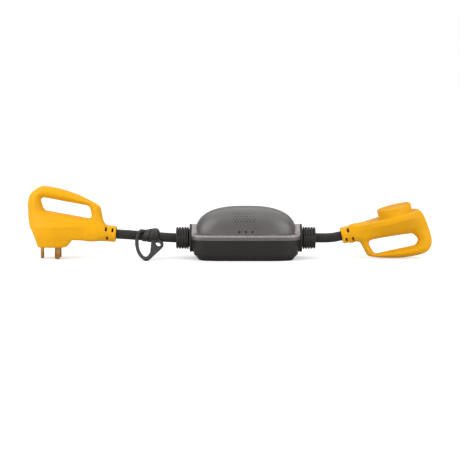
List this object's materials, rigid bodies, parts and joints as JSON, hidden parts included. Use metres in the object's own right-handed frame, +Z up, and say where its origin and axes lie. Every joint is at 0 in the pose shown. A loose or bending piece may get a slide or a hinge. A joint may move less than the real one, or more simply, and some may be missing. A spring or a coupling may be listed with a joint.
{
  "type": "surge protector plug",
  "caption": "Portable in-line surge protector: right-angle plug with loop handle, short cable, domed housing with ribbed glands, and a socket connector with loop handle.",
  "frame": {"origin": "centre of the housing's flat underside, on the table", "axes": "+X along the cable towards the socket connector, +Z up out of the cover, -Y towards the indicator side"},
  "size_m": [0.7465, 0.094, 0.1352],
  "materials": {
    "yellow_overmould": "satin moulded vinyl",
    "yellow_insert": "satin moulded nylon",
    "grey_cover": "fine satin texture",
    "black_base": "fine moulded texture",
    "black_rubber": "matt",
    "cable_jacket": "satin vinyl",
    "brass": "brushed, slightly tarnished",
    "steel": "zinc plated",
    "clamp_nylon": "moulded",
    "core_plastic": "moulded",
    "circuit_board": "solder mask",
    "terminal_plastic": "moulded",
    "copper": "tinned copper",
    "component_blue": "dipped epoxy",
    "component_white": "moulded",
    "component_dark": "sleeved",
    "led_resin": "clear tinted resin",
    "lens_plastic": "smoked",
    "wire_black": "satin",
    "wire_white": "satin",
    "wire_green": "satin"
  },
  "bodies": {
    "housing": {"base_shell": "black_base", "top_cover": "grey_cover", "cover_gasket": "black_rubber", "cover_screws": "steel", "plug_gland": "black_rubber", "connector_gland": "black_rubber", "plug_cable_clamp": "clamp_nylon", "connector_cable_clamp": "clamp_nylon", "clamp_screws": "steel", "circuit_board": "circuit_board", "board_screws": "steel", "input_terminals": "terminal_plastic", "output_terminals": "terminal_plastic", "busbar_hot": "copper", "busbar_neutral": "copper", "busbar_ground": "copper", "varistor_hot_neutral": "component_blue", "varistor_hot_ground": "component_blue", "varistor_neutral_ground": "component_blue", "thermal_fuses": "component_white", "line_relay": "component_white", "filter_capacitors": "component_dark", "choke_coil": "copper", "indicator_board": "circuit_board", "indicator_leds": "led_resin", "indicator_lenses": "lens_plastic", "input_wire_hot": "wire_black", "input_wire_neutral": "wire_white", "input_wire_ground": "wire_green", "output_wire_hot": "wire_black", "output_wire_neutral": "wire_white", "output_wire_ground": "wire_green", "plug_cable": "cable_jacket", "connector_cable": "cable_jacket"},
    "plug": {"plug_body": "yellow_overmould", "plug_core": "core_plastic", "plug_blade_hot": "brass", "plug_blade_neutral": "brass", "plug_ground_pin": "brass", "plug_wire_hot": "wire_black", "plug_wire_neutral": "wire_white", "plug_wire_ground": "wire_green"},
    "connector": {"connector_body": "yellow_overmould", "connector_face": "yellow_insert", "contact_hot": "brass", "contact_neutral": "brass", "contact_ground": "brass", "connector_wire_hot": "wire_black", "connector_wire_neutral": "wire_white", "connector_wire_ground": "wire_green"},
    "hang_strap": {"hang_strap": "black_rubber"}
  },
  "joints": [
    {"name": "plug_cable_bend", "type": "hinge", "parent": "housing", "child": "plug", "pos_m": [-0.223, 0, 0.0442], "axis": [0, 0, 1], "range_deg": [-25, 25], "deforming": ["plug_cable"]},
    {"name": "connector_cable_bend", "type": "hinge", "parent": "housing", "child": "connector", "pos_m": [0.153, 0, 0.0382], "axis": [0, 0, 1], "range_deg": [-25, 25], "deforming": ["connector_cable"]},
    {"name": "hang_strap_swing", "type": "hinge", "parent": "housing", "child": "hang_strap", "pos_m": [-0.1783, 0, 0.0411], "axis": [0.9976, 0, -0.0689], "range_deg": [-260, 0]}
  ]
}
